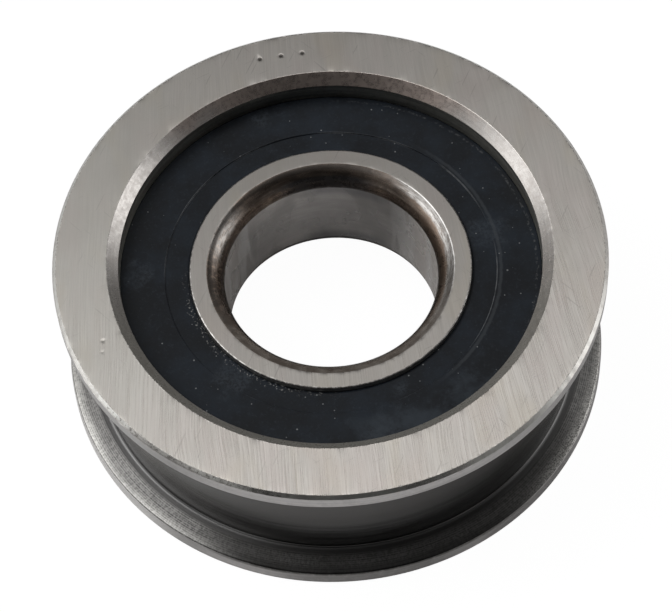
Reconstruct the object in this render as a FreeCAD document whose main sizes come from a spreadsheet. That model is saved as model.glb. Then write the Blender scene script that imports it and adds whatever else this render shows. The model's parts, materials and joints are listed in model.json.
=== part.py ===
import FreeCAD, Part
import math
import os

import Sketcher

# Grooved track roller (cam follower), 90 mm over the flanges, lying with its axis along +Z.
# The origin is the centre of the bore at the roller's mid-plane, so every ring profile is drawn once
# for +Z and repeated for -Z. All sizes are in millimetres.

doc = FreeCAD.newDocument("cam_follower")

# ---------------------------------------------------------------- driving dimensions
dims = doc.addObject("Spreadsheet::Sheet", "Dims")
TABLE = [
    # outer ring with its two flanges
    ("ring_radius", 45.0, "outer ring, radius over the flanges"),
    ("ring_half", 14.7, "outer ring, half of its overall width"),
    ("edge_chamfer", 0.55, "outer ring, chamfer between the end faces and the rim"),
    ("track_radius", 40.4, "track between the flanges"),
    ("track_half", 10.7, "track, half of its width"),
    ("track_fillet", 0.6, "fillet in the corners of the track"),
    ("band_radius", 41.67, "outside radius of the flat ground band beside the track"),
    ("shoulder_half", 11.53, "height of the turned shoulder where it meets the rim"),
    ("rim_fillet", 0.7, "rounding between shoulder and rim"),
    ("mouth_radius", 36.15, "mouth of the recess at the end face"),
    ("wall_radius", 34.4, "cylindrical wall of the recess"),
    ("wall_half", 13.04, "height where the wall meets the mouth chamfer"),
    ("seat_lip_half", 9.8, "height of the lip that holds the seal"),
    ("seat_back_half", 9.5, "height where the undercut reaches full depth"),
    ("seat_radius", 35.1, "undercut that the seal's bead sits in"),
    ("seat_floor_half", 8.45, "floor of the seal seat"),
    ("outer_land_radius", 33.2, "land beside the outer raceway"),
    # inner ring
    ("bore_radius", 17.5, "bore"),
    ("bore_half", 7.4, "half of the bore's cylindrical length"),
    ("corner_radius", 4.11, "rounding from the bore to the end face"),
    ("face_inner_radius", 20.2, "inner edge of the inner ring's end face"),
    ("inner_half", 10.5, "inner ring, half of its width"),
    ("lip_land_radius", 23.05, "land that the seal lip runs on"),
    ("lip_land_half", 8.1, "height where the lip land begins"),
    ("inner_edge_fillet", 0.25, "rounding of the inner ring's outer edge"),
    ("inner_land_radius", 24.75, "land beside the inner raceway"),
    ("inner_land_half", 7.7, "height where that land ends"),
    # raceways and balls
    ("groove_radius", 6.949, "radius of both raceway grooves"),
    ("inner_groove_centre", 28.932, "centre of the inner raceway groove"),
    ("outer_groove_centre", 28.568, "centre of the outer raceway groove"),
    ("ball_radius", 6.747, "ball"),
    ("pitch_radius", 28.75, "ball pitch circle"),
    ("ball_count", 8, "balls and rivets"),
    # riveted ribbon cage
    ("cage_inner_radius", 26.1, "inside of the ribbon"),
    ("cage_outer_radius", 31.4, "outside of the ribbon"),
    ("cage_thickness", 1.2, "sheet thickness"),
    ("pocket_radius", 6.9, "inside of a ball pocket"),
    ("pocket_shell", 8.1, "outside of a ball pocket"),
    ("rivet_hole", 1.3, "rivet hole radius"),
    ("rivet_radius", 1.25, "rivet shank radius"),
    ("rivet_head", 2.1, "rivet head radius"),
    ("rivet_head_top", 2.2, "height of the rivet's flat crown"),
    ("rivet_crown", 1.2, "radius of that crown"),
    # seals
    ("lip_radius", 23.09, "seal lip, running clearance over its land"),
    ("lip_low", 9.0, "underside of the lip"),
    ("lip_high", 9.4, "top of the lip"),
    ("lip_flare_radius", 23.45, "end of the lip's bevel"),
    ("seal_low_face", 9.55, "recessed inner zone of the seal's outer face"),
    ("seal_step_radius", 27.1, "circular step in the seal's outer face"),
    ("seal_face", 9.8, "outer zone of the seal's outer face"),
    ("bead_top_radius", 34.36, "top of the bead"),
    ("bead_top", 9.77, "height at the top of the bead"),
    ("bead_back", 9.47, "height where the bead reaches the undercut"),
    ("insert_low", 8.5, "inner face of the steel insert"),
    ("insert_high", 9.0, "outer face of the steel insert"),
    ("insert_inner", 24.6, "inner radius of the steel insert"),
    ("insert_outer", 34.2, "outer radius of the steel insert"),
    ("lip_root_radius", 24.0, "root of the lip on the inner side"),
]
for row, (alias, value, note) in enumerate(TABLE, 1):
    dims.set(f"A{row}", note)
    dims.set(f"B{row}", str(value))
    dims.setAlias(f"B{row}", alias)
doc.recompute()


def size(alias):
    """The number in the sheet's cell of that alias."""
    return float(dims.get(alias))


def origin_feature(body, role):
    for feature in body.Origin.OriginFeatures:
        if feature.Role == role:
            return feature
    raise RuntimeError("no origin feature " + role)


def sketch_on(body, name, role="XZ_Plane"):
    """An empty sketch on one of the body's own origin planes. On XZ, sketch x is the radius and y is the height."""
    sketch = body.newObject("Sketcher::SketchObject", name)
    sketch.AttachmentSupport = [(origin_feature(body, role), "")]
    sketch.MapMode = "FlatFace"
    return sketch


def bind(sketch, constraint, name, alias):
    """Adds a dimension and drives it from the sheet."""
    index = sketch.addConstraint(constraint)
    sketch.renameConstraint(index, name)
    sketch.setExpression("Constraints." + name, "Dims." + alias)


def place_point(sketch, geo, pos, name, radius_alias, height_alias, side):
    """Fixes one point at a radius and at a height above (side 1) or below (side -1) the mid-plane."""
    r = size(radius_alias)
    bind(sketch, Sketcher.Constraint("DistanceX", -1, 1, geo, pos, r), name + "_radius", radius_alias)
    if side == 0:
        sketch.addConstraint(Sketcher.Constraint("PointOnObject", geo, pos, -1))
        return
    h = size(height_alias)
    pair = (-1, 1, geo, pos) if side > 0 else (geo, pos, -1, 1)
    bind(sketch, Sketcher.Constraint("DistanceY", *pair, h), name + "_height", height_alias)


def ring_profile(sketch, points, arcs=()):
    """A closed section. points are (name, radius alias, height alias, side); arcs are (name, name, radius alias)
    for sides that are rounded outwards from the section instead of straight."""
    at = [FreeCAD.Vector(size(r), s * size(z), 0) for _, r, z, s in points]
    middle = FreeCAD.Vector(0, 0, 0)
    for p in at:
        middle = middle + p * (1.0 / len(at))
    rounded = {frozenset(a[:2]): a[2] for a in arcs}
    count = len(points)
    is_arc, ends = [], []
    for i in range(count):
        a, b = at[i], at[(i + 1) % count]
        key = frozenset((points[i][0], points[(i + 1) % count][0]))
        if key not in rounded:
            sketch.addGeometry(Part.LineSegment(a, b), False)
            is_arc.append(None)
            ends.append((1, 2))
            continue
        radius = size(rounded[key])
        mid = (a + b) * 0.5
        half = (b - a).Length / 2
        normal = FreeCAD.Vector(-(b - a).y, (b - a).x, 0).normalize()
        if (mid - middle).dot(normal) < 0:
            normal = normal * -1.0
        centre = mid - normal * math.sqrt(radius**2 - half**2)
        from_a = math.atan2(a.y - centre.y, a.x - centre.x)
        from_b = math.atan2(b.y - centre.y, b.x - centre.x)
        forward = (from_b - from_a) % (2 * math.pi) < math.pi
        first, last = (from_a, from_b) if forward else (from_b, from_a)
        if last < first:
            last += 2 * math.pi
        circle = Part.Circle(centre, FreeCAD.Vector(0, 0, 1), radius)
        sketch.addGeometry(Part.ArcOfCircle(circle, first, last), False)
        is_arc.append(rounded[key])
        ends.append((1, 2) if forward else (2, 1))

    for i in range(count):
        j = (i + 1) % count
        sketch.addConstraint(Sketcher.Constraint("Coincident", i, ends[i][1], j, ends[j][0]))
    for i, (name, r, z, s) in enumerate(points):
        place_point(sketch, i, ends[i][0], name, r, z, s)
    for i, alias in enumerate(is_arc):
        if alias:
            bind(sketch, Sketcher.Constraint("Radius", i, size(alias)), points[i][0] + "_round", alias)


def both_sides(upper):
    """The section of a ring that is the same above and below the mid-plane, from its upper half."""
    top = [(n + "_top", r, z, 1) for n, r, z in upper]
    low = [(n + "_low", r, z, -1) for n, r, z in reversed(upper)]
    return top + low


def revolve(body, sketch, name, kind="PartDesign::Revolution", axis="V_Axis"):
    feature = body.newObject(kind, name)
    feature.Profile = sketch
    feature.ReferenceAxis = (sketch, [axis])
    feature.Angle = 360
    sketch.Visibility = False
    doc.recompute()
    return feature


def circles(feature, wanted):
    """Names of the full-circle edges of a feature at the given (radius, height) pairs, on both sides of the mid-plane."""
    names = []
    for number, edge in enumerate(feature.Shape.Edges, 1):
        curve = edge.Curve
        if not isinstance(curve, Part.Circle):
            continue
        for radius, height in wanted:
            if abs(curve.Radius - radius) < 1e-4 and abs(abs(curve.Center.z) - height) < 1e-4:
                names.append(f"Edge{number}")
    if len(names) != 2 * len(wanted):
        raise RuntimeError(f"{feature.Name}: {len(names)} edges found for {wanted}")
    return names


def soften(body, kind, name, base, wanted, prop, alias):
    feature = body.newObject(kind, name)
    feature.Base = (base, circles(base, wanted))
    setattr(feature, prop, size(alias))
    feature.setExpression(prop, "Dims." + alias)
    doc.recompute()
    return feature


def raceway(body, name, centre_alias):
    """The ball groove: a full circle turned round the roller's axis and taken out of the ring."""
    sketch = sketch_on(body, name + "_sketch")
    sketch.addGeometry(
        Part.Circle(FreeCAD.Vector(size(centre_alias), 0, 0), FreeCAD.Vector(0, 0, 1), size("groove_radius")), False
    )
    place_point(sketch, 0, 3, "centre", centre_alias, None, 0)
    bind(sketch, Sketcher.Constraint("Radius", 0, size("groove_radius")), "groove", "groove_radius")
    return revolve(body, sketch, name, "PartDesign::Groove")


nodes = {}


def new_body(node):
    body = doc.addObject("PartDesign::Body", node)
    body.Label = node
    nodes[node] = body
    return body


# ---------------------------------------------------------------- outer ring
# One ring: track in the middle, a flange on each side, a recess with a chamfered mouth in each end face,
# an undercut for each seal and the ball groove inside.
outer = new_body("outer_ring")
outer_sketch = sketch_on(outer, "outer_section")
ring_profile(
    outer_sketch,
    both_sides(
        [
            ("land", "outer_land_radius", "seat_floor_half"),
            ("seat_floor", "seat_radius", "seat_floor_half"),
            ("seat_back", "seat_radius", "seat_back_half"),
            ("seat_lip", "wall_radius", "seat_lip_half"),
            ("wall", "wall_radius", "wall_half"),
            ("mouth", "mouth_radius", "ring_half"),
            ("edge", "ring_radius", "ring_half"),
            ("rim", "ring_radius", "shoulder_half"),
            ("band", "band_radius", "track_half"),
            ("track", "track_radius", "track_half"),
        ]
    ),
)
outer_blank = revolve(outer, outer_sketch, "outer_blank")
outer_raceway = raceway(outer, "outer_raceway", "outer_groove_centre")
outer_track = soften(
    outer, "PartDesign::Fillet", "track_corners", outer_raceway, [(size("track_radius"), size("track_half"))], "Radius", "track_fillet"
)
outer_rim = soften(
    outer, "PartDesign::Fillet", "rim_rounding", outer_track, [(size("ring_radius"), size("shoulder_half"))], "Radius", "rim_fillet"
)
outer_edge = soften(
    outer, "PartDesign::Chamfer", "edge_chamfers", outer_rim, [(size("ring_radius"), size("ring_half"))], "Size", "edge_chamfer"
)

# ---------------------------------------------------------------- inner ring
# Narrower than the outer ring. Its bore opens through a large convex rounding at each end.
inner = new_body("inner_ring")
inner_sketch = sketch_on(inner, "inner_section")
ring_profile(
    inner_sketch,
    both_sides(
        [
            ("bore", "bore_radius", "bore_half"),
            ("face", "face_inner_radius", "inner_half"),
            ("face_edge", "lip_land_radius", "inner_half"),
            ("lip_land", "lip_land_radius", "lip_land_half"),
            ("inner_land", "inner_land_radius", "inner_land_half"),
        ]
    ),
    [("bore_top", "face_top", "corner_radius"), ("bore_low", "face_low", "corner_radius")],
)
inner_blank = revolve(inner, inner_sketch, "inner_blank")
inner_raceway = raceway(inner, "inner_raceway", "inner_groove_centre")
inner_edges = soften(
    inner, "PartDesign::Fillet", "inner_edges", inner_raceway, [(size("lip_land_radius"), size("inner_half"))], "Radius", "inner_edge_fillet"
)

# ---------------------------------------------------------------- balls
# Evenly spaced on the pitch circle, the first one on +X.
for k in range(1, int(size("ball_count")) + 1):
    ball = doc.addObject("Part::Sphere", f"ball_{k}")
    ball.Label = f"ball_{k}"
    turn = f"{k - 1} * 360 deg / Dims.ball_count"
    ball.setExpression("Radius", "Dims.ball_radius")
    ball.setExpression("Placement.Base.x", f"Dims.pitch_radius * cos({turn})")
    ball.setExpression("Placement.Base.y", f"Dims.pitch_radius * sin({turn})")
    nodes[f"ball_{k}"] = ball


# ---------------------------------------------------------------- cage
# Two pressed ribbons, back to back on the mid-plane. Each has a spherical pocket over every ball and a flat
# web with a rivet hole between pockets.
def primitive(kind, name, **exprs):
    thing = doc.addObject(kind, name)
    for prop, text in exprs.items():
        thing.setExpression(prop.replace("__", "."), text)
    return thing


def operation(kind, name, **links):
    thing = doc.addObject(kind, name)
    for prop, value in links.items():
        setattr(thing, prop, value)
    return thing


shells, spaces, holes = [], [], []
for k in range(1, int(size("ball_count")) + 1):
    turn = f"{k - 1} * 360 deg / Dims.ball_count"
    between = f"({k - 1} + 0.5) * 360 deg / Dims.ball_count"
    where = {
        "Placement__Base__x": f"Dims.pitch_radius * cos({turn})",
        "Placement__Base__y": f"Dims.pitch_radius * sin({turn})",
    }
    shells.append(primitive("Part::Sphere", f"pocket_shell_{k}", Radius="Dims.pocket_shell", **where))
    spaces.append(primitive("Part::Sphere", f"pocket_space_{k}", Radius="Dims.pocket_radius", **where))
    holes.append(
        primitive(
            "Part::Cylinder",
            f"rivet_hole_{k}",
            Radius="Dims.rivet_hole",
            Height="2 * Dims.pocket_shell",
            Placement__Base__x=f"Dims.pitch_radius * cos({between})",
            Placement__Base__y=f"Dims.pitch_radius * sin({between})",
            Placement__Base__z="-Dims.pocket_shell",
        )
    )
web = primitive("Part::Cylinder", "ribbon_web", Radius="Dims.cage_outer_radius", Height="Dims.cage_thickness")
band_outside = primitive("Part::Cylinder", "ribbon_outside", Radius="Dims.cage_outer_radius", Height="Dims.pocket_shell + 1")
band_inside = primitive(
    "Part::Cylinder", "ribbon_inside", Radius="Dims.cage_inner_radius", Height="Dims.pocket_shell + 3", Placement__Base__z="-1"
)
ribbon_band = operation("Part::Cut", "ribbon_band", Base=band_outside, Tool=band_inside)
ribbon_raw = operation("Part::MultiFuse", "ribbon_raw", Shapes=[web] + shells)
ribbon_trimmed = operation("Part::MultiCommon", "ribbon_trimmed", Shapes=[ribbon_raw, ribbon_band])
ribbon_taken = operation("Part::MultiFuse", "ribbon_taken", Shapes=spaces + holes)
cage_top = operation("Part::Cut", "cage_half_top", Base=ribbon_trimmed, Tool=ribbon_taken)
cage_top.Label = "cage_half_top"
nodes["cage_half_top"] = cage_top
cage_bottom = operation("Part::Mirroring", "cage_half_bottom", Source=cage_top)
cage_bottom.Base = FreeCAD.Vector(0, 0, 0)
cage_bottom.Normal = FreeCAD.Vector(0, 0, 1)
cage_bottom.Label = "cage_half_bottom"
nodes["cage_half_bottom"] = cage_bottom

# Rivets: one turned rivet with a set head on both sides of the webs, repeated round the ring.
rivets = new_body("cage_rivets")
rivets.AllowCompound = True
rivet_sketch = sketch_on(rivets, "rivet_section")
shank, head, crown = size("rivet_radius"), size("rivet_head"), size("rivet_crown")
pitch, sheet, top = size("pitch_radius"), size("cage_thickness"), size("rivet_head_top")
offsets = [(0, top), (crown, top), (head, sheet), (shank, sheet), (shank, -sheet), (head, -sheet), (crown, -top), (0, -top)]
spots = [FreeCAD.Vector(pitch + dx, dz, 0) for dx, dz in offsets]
for i, spot in enumerate(spots):
    rivet_sketch.addGeometry(Part.LineSegment(spot, spots[(i + 1) % len(spots)]), False)
axis_line = rivet_sketch.addGeometry(Part.LineSegment(FreeCAD.Vector(pitch, -5, 0), FreeCAD.Vector(pitch, 5, 0)), True)
for i in range(len(spots)):
    rivet_sketch.addConstraint(Sketcher.Constraint("Coincident", i, 2, (i + 1) % len(spots), 1))
names = ["crown_in", "crown_out", "head_out", "shank_top", "shank_low", "head_low", "crown_low", "crown_end"]
radii = [None, "rivet_crown", "rivet_head", "rivet_radius", "rivet_radius", "rivet_head", "rivet_crown", None]
levels = ["rivet_head_top"] * 2 + ["cage_thickness"] * 4 + ["rivet_head_top"] * 2
rivet_sketch.addConstraint(Sketcher.Constraint("Symmetric", axis_line, 1, axis_line, 2, -1))
for i, (name, radius, level) in enumerate(zip(names, radii, levels)):
    if radius is None:
        rivet_sketch.addConstraint(Sketcher.Constraint("PointOnObject", i, 1, axis_line))
    else:
        bind(rivet_sketch, Sketcher.Constraint("DistanceX", axis_line, 1, i, 1, size(radius)), name + "_radius", radius)
    pair = (-1, 1, i, 1) if i < 4 else (i, 1, -1, 1)
    bind(rivet_sketch, Sketcher.Constraint("DistanceY", *pair, size(level)), name + "_height", level)
bind(rivet_sketch, Sketcher.Constraint("DistanceX", -1, 1, axis_line, 1, pitch), "axis_radius", "pitch_radius")
rivet_sketch.addConstraint(Sketcher.Constraint("DistanceY", axis_line, 1, axis_line, 2, 10))
rivet_one = revolve(rivets, rivet_sketch, "rivet_one", axis="Axis0")
rivet_ring = rivets.newObject("PartDesign::PolarPattern", "rivet_ring")
rivet_ring.Originals = [rivet_one]
rivet_ring.Axis = (origin_feature(rivets, "Z_Axis"), [""])
rivet_ring.Angle = 360
rivet_ring.setExpression("Occurrences", "Dims.ball_count")
rivets.Tip = rivet_ring
rivets.Placement = FreeCAD.Placement(FreeCAD.Vector(0, 0, 0), FreeCAD.Rotation(FreeCAD.Vector(0, 0, 1), 180.0 / size("ball_count")))
doc.recompute()


# ---------------------------------------------------------------- seals
# Nitrile rubber moulded over a flat steel insert. The bead fills the undercut of the outer ring, and the lip
# runs just clear of its land on the inner ring.
def seal(place, side):
    rubber = new_body(f"seal_{place}_rubber")
    section = sketch_on(rubber, f"seal_{place}_section")
    corners = [
        ("lip_under", "lip_radius", "lip_low"),
        ("lip_over", "lip_radius", "lip_high"),
        ("lip_flare", "lip_flare_radius", "seal_low_face"),
        ("step_low", "seal_step_radius", "seal_low_face"),
        ("step_high", "seal_step_radius", "seal_face"),
        ("face_end", "bead_top_radius", "seal_face"),
        ("bead_top", "bead_top_radius", "bead_top"),
        ("bead_back", "seat_radius", "bead_back"),
        ("bead_foot", "seat_radius", "seat_floor_half"),
        ("bead_heel", "insert_outer", "seat_floor_half"),
        ("insert_edge", "insert_outer", "insert_high"),
        ("insert_hole", "insert_inner", "insert_high"),
        ("insert_heel", "insert_inner", "insert_low"),
        ("lip_root", "lip_root_radius", "insert_low"),
    ]
    ring_profile(section, [(n, r, z, side) for n, r, z in corners])
    revolve(rubber, section, f"seal_{place}_ring")
    insert = new_body(f"seal_{place}_insert")
    plate = sketch_on(insert, f"insert_{place}_section")
    edges = [
        ("inner_low", "insert_inner", "insert_low"),
        ("inner_high", "insert_inner", "insert_high"),
        ("outer_high", "insert_outer", "insert_high"),
        ("outer_low", "insert_outer", "insert_low"),
    ]
    ring_profile(plate, [(n, r, z, side) for n, r, z in edges])
    revolve(insert, plate, f"insert_{place}_ring")


seal("top", 1)
seal("bottom", -1)
doc.recompute()

# ---------------------------------------------------------------- checks before anything is written
for thing in doc.Objects:
    if "Invalid" in thing.State or "Error" in thing.State:
        raise RuntimeError(f"{thing.Name} failed: {thing.State}")
for thing in doc.Objects:
    if thing.TypeId == "Sketcher::SketchObject" and not thing.FullyConstrained:
        print("open sketch:", thing.Name, "degrees of freedom left:", thing.solve())
for node, thing in nodes.items():
    shape = thing.Shape
    if shape.isNull() or not shape.isValid() or not shape.Solids:
        raise RuntimeError(f"{node} has no valid solid")
expected = {"cage_rivets": int(size("ball_count"))}
for node, thing in nodes.items():
    wanted = expected.get(node, 1)
    if len(thing.Shape.Solids) != wanted:
        raise RuntimeError(f"{node} has {len(thing.Shape.Solids)} solids, not {wanted}")

# A raceway that cut nothing would leave the ring as heavy as its blank.
if not outer_raceway.Shape.Volume < outer_blank.Shape.Volume - 100:
    raise RuntimeError("the outer raceway took nothing away")
if not inner_raceway.Shape.Volume < inner_blank.Shape.Volume - 100:
    raise RuntimeError("the inner raceway took nothing away")

os.makedirs("parts", exist_ok=True)
for node, thing in nodes.items():
    thing.Shape.exportStep(f"parts/{node}.step")
    box = thing.Shape.BoundBox
    print(
        f"{node:22s} solids {len(thing.Shape.Solids)}  volume {thing.Shape.Volume:10.2f} mm3  "
        f"x {box.XMin:7.2f} {box.XMax:7.2f}  z {box.ZMin:7.2f} {box.ZMax:7.2f}"
    )
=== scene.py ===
import json
import math
import random

import bmesh
import bpy
from mathutils import Matrix, Vector


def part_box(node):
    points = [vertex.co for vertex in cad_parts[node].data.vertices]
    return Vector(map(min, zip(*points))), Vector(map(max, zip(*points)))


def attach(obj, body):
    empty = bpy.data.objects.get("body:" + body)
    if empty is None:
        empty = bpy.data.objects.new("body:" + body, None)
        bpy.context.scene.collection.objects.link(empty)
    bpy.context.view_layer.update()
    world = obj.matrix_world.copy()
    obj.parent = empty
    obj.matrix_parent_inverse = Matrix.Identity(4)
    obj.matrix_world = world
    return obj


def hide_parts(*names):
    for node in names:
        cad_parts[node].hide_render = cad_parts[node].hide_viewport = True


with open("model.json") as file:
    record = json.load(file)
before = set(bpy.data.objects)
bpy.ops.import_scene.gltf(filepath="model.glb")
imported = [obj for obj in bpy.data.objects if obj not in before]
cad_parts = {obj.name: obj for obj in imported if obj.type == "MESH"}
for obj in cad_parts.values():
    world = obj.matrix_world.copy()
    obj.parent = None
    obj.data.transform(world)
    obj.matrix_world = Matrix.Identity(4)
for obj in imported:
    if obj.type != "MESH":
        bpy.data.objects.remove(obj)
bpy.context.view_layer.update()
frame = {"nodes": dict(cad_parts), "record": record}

MM = 0.001
record = frame["record"]
REST_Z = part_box("outer_ring")[0].z  # the end face that the roller lies on

# =====================================================================================================
# Meshes. Every ring is a closed section turned round Z. A section is a list of corners, each with its own
# rounding, and every stretch between corners belongs to a zone, which picks its material.
# =====================================================================================================


def rounded(corners):
    """corners: (r, z, rounding, zone of the stretch that follows, rings on that stretch). The rings are a number, or a
    list of shares of the stretch. Returns [(r, z, zone)]."""
    out = []
    n = len(corners)
    for i, (r, z, f, zone, rings) in enumerate(corners):
        pr, pz = corners[i - 1][:2]
        nr, nz = corners[(i + 1) % n][:2]
        before = corners[i - 1][3]
        here = Vector((r, z))
        a, b = Vector((pr, pz)) - here, Vector((nr, nz)) - here
        la, lb = a.length, b.length
        a, b = a / la, b / lb
        if f > 0:
            half = math.acos(max(-1, min(1, a.dot(b)))) / 2
            cut = min(f / math.tan(half), la * 0.45, lb * 0.45)
            radius = cut * math.tan(half)
            middle = here + (a + b).normalized() * (radius / math.sin(half))
            start, end = here + a * cut, here + b * cut
            steps = max(2, min(6 if f > 0.3 else 3, int(math.degrees(math.pi - 2 * half) / 14) + 1))
            sa = math.atan2(start.y - middle.y, start.x - middle.x)
            sweep = (math.atan2(end.y - middle.y, end.x - middle.x) - sa + math.pi) % (2 * math.pi) - math.pi
            guard = min(0.05, la * 0.04)
            out.append((start.x + a.x * guard, start.y + a.y * guard, before))
            for k in range(steps + 1):
                t = sa + sweep * k / steps
                out.append((middle.x + radius * math.cos(t), middle.y + radius * math.sin(t), zone if k >= steps / 2 else before))
            guard = min(0.05, lb * 0.04)
            out.append((end.x + b.x * guard, end.y + b.y * guard, zone))
            from_here, used = end, cut
        else:
            out.append((r, z, zone))
            from_here, used = here, 0.0
        nf = corners[(i + 1) % n][2]
        stop = Vector((nr, nz))
        if nf > 0:
            stop = stop - b * min(nf * 1.2, lb * 0.45)
        for share in rings if isinstance(rings, list) else [k / rings for k in range(1, rings)]:
            p = from_here.lerp(stop, share)
            out.append((p.x, p.y, zone))
    return out


def turned(name, section, segments, zones, move=None, smooth=True):
    """Turns a closed section into a ring. segments: a number, or a list of angles. zones: {zone: material}.
    move(r, angle, z, zone) may return a new (r, z)."""
    verts, faces, picks = [], [], []
    count = len(section)
    angles = segments if isinstance(segments, list) else [2 * math.pi * j / segments for j in range(segments)]
    segments = len(angles)
    slots = list(dict.fromkeys(z for _, _, z in section))
    mats = []
    for s in slots:
        if zones[s] not in mats:
            mats.append(zones[s])
    for t in angles:
        c, s = math.cos(t), math.sin(t)
        for r, z, zone in section:
            if move:
                r, z = move(r, t, z, zone)
            verts.append((r * c * MM, r * s * MM, z * MM))
    for j in range(segments):
        here, there = j * count, ((j + 1) % segments) * count
        for i in range(count):
            k = (i + 1) % count
            faces.append((here + i, there + i, there + k, here + k))
            picks.append(mats.index(zones[section[i][2]]))
    mesh = bpy.data.meshes.new(name)
    mesh.from_pydata(verts, [], faces)
    for m in mats:
        mesh.materials.append(m)
    mesh.polygons.foreach_set("material_index", picks)
    mesh.polygons.foreach_set("use_smooth", [smooth] * len(faces))
    mesh.update()
    bm = bmesh.new()
    bm.from_mesh(mesh)
    bmesh.ops.recalc_face_normals(bm, faces=bm.faces)
    bm.to_mesh(mesh)
    bm.free()
    piece = bpy.data.objects.new(name, mesh)
    bpy.context.scene.collection.objects.link(piece)
    return piece


# =====================================================================================================
# Materials: a small kit for node trees
# =====================================================================================================


class Tree:
    def __init__(self, name):
        self.mat = bpy.data.materials.new(name)
        self.mat.use_nodes = True
        self.nt = self.mat.node_tree
        self.nt.nodes.clear()
        self.out = self.nt.nodes.new("ShaderNodeOutputMaterial")
        self.co = self.nt.nodes.new("ShaderNodeTexCoord").outputs["Object"]
        self.mm = self.vmath("SCALE", self.co, scale=1000.0)
        sep = self.node("ShaderNodeSeparateXYZ", Vector=self.mm)
        self.x, self.y, self.z = sep.outputs

    def node(self, kind, **inputs):
        n = self.nt.nodes.new(kind)
        for key, value in inputs.items():
            self.put(n.inputs[key.replace("_", " ")], value)
        return n

    def put(self, socket, value):
        if hasattr(value, "is_output") or isinstance(value, bpy.types.NodeSocket):
            self.nt.links.new(value, socket)
        elif value is not None:
            if hasattr(socket.default_value, "__len__") and not hasattr(value, "__len__"):
                value = [value] * len(socket.default_value)
            if hasattr(socket.default_value, "__len__") and len(socket.default_value) == 4 and len(value) == 3:
                value = (*value, 1.0)
            socket.default_value = value

    def math(self, op, a, b=None, c=None, clamp=False):
        n = self.nt.nodes.new("ShaderNodeMath")
        n.operation = op
        n.use_clamp = clamp
        for s, v in zip(n.inputs, (a, b, c)):
            self.put(s, v)
        return n.outputs[0]

    def vmath(self, op, a, b=None, scale=None):
        n = self.nt.nodes.new("ShaderNodeVectorMath")
        n.operation = op
        self.put(n.inputs[0], a)
        if b is not None:
            self.put(n.inputs[1], b)
        if scale is not None:
            n.inputs["Scale"].default_value = scale
        return n.outputs["Value"] if op in ("LENGTH", "DOT_PRODUCT", "DISTANCE") else n.outputs[0]

    def vec(self, x=0.0, y=0.0, z=0.0):
        return self.node("ShaderNodeCombineXYZ", X=x, Y=y, Z=z).outputs[0]

    def noise(self, vector, scale=1.0, detail=2.0, rough=0.5, distort=0.0):
        n = self.node("ShaderNodeTexNoise", Vector=vector, Scale=scale, Detail=detail, Roughness=rough, Distortion=distort)
        return n.outputs["Fac"]

    def cells(self, vector, scale=1.0, feature="F1", random=1.0):
        n = self.nt.nodes.new("ShaderNodeTexVoronoi")
        n.feature = feature
        self.put(n.inputs["Vector"], vector)
        self.put(n.inputs["Scale"], scale)
        self.put(n.inputs["Randomness"], random)
        return n

    def span(self, value, a, b, c=0.0, d=1.0, kind="SMOOTHSTEP"):
        n = self.nt.nodes.new("ShaderNodeMapRange")
        n.interpolation_type = kind
        n.clamp = True if kind == "LINEAR" else n.clamp
        for s, v in zip(n.inputs, (value, a, b, c, d)):
            self.put(s, v)
        return n.outputs[0]

    def mix(self, fac, a, b, blend="MIX"):
        n = self.nt.nodes.new("ShaderNodeMix")
        n.data_type = "RGBA"
        n.blend_type = blend
        n.clamp_factor = True
        self.put(n.inputs[0], fac)
        self.put(n.inputs[6], a)
        self.put(n.inputs[7], b)
        return n.outputs[2]

    def lerp(self, fac, a, b):
        n = self.nt.nodes.new("ShaderNodeMix")
        n.data_type = "FLOAT"
        self.put(n.inputs[0], fac)
        self.put(n.inputs[2], a)
        self.put(n.inputs[3], b)
        return n.outputs[0]

    def bump(self, height, depth, normal=None, strength=1.0):
        n = self.node("ShaderNodeBump", Strength=strength, Distance=depth, Height=height)
        if normal is not None:
            self.put(n.inputs["Normal"], normal)
        return n.outputs[0]

    def radius(self):
        return self.vmath("LENGTH", self.vec(self.x, self.y, 0.0))

    def round_vector(self, turns, across, along=None):
        """A noise vector that varies slowly round the axis and fast across the turning marks."""
        flat = self.vec(self.x, self.y, 0.0)
        unit = self.vmath("NORMALIZE", flat)
        spread = self.vmath("SCALE", unit, scale=turns)
        s = self.node("ShaderNodeSeparateXYZ", Vector=spread)
        along = self.radius() if along is None else along
        return self.vec(s.outputs[0], s.outputs[1], self.math("MULTIPLY", along, across))

    def principled(self, **inputs):
        p = self.nt.nodes.new("ShaderNodeBsdfPrincipled")
        for key, value in inputs.items():
            self.put(p.inputs[key.replace("_", " ")], value)
        self.nt.links.new(p.outputs[0], self.out.inputs["Surface"])
        return p


def along_y(t):
    """The grinding direction, which turns with the piece."""
    n = t.nt.nodes.new("ShaderNodeVectorTransform")
    n.vector_type, n.convert_from, n.convert_to = "VECTOR", "OBJECT", "WORLD"
    n.inputs[0].default_value = (0.0, 1.0, 0.0)
    return n.outputs[0]


def around_z(t):
    """The turning direction at each point."""
    n = t.nt.nodes.new("ShaderNodeVectorTransform")
    n.vector_type, n.convert_from, n.convert_to = "VECTOR", "OBJECT", "WORLD"
    t.put(n.inputs[0], t.vmath("NORMALIZE", t.vec(t.math("MULTIPLY", t.y, -1.0), t.x, 0.0)))
    return n.outputs[0]


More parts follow.
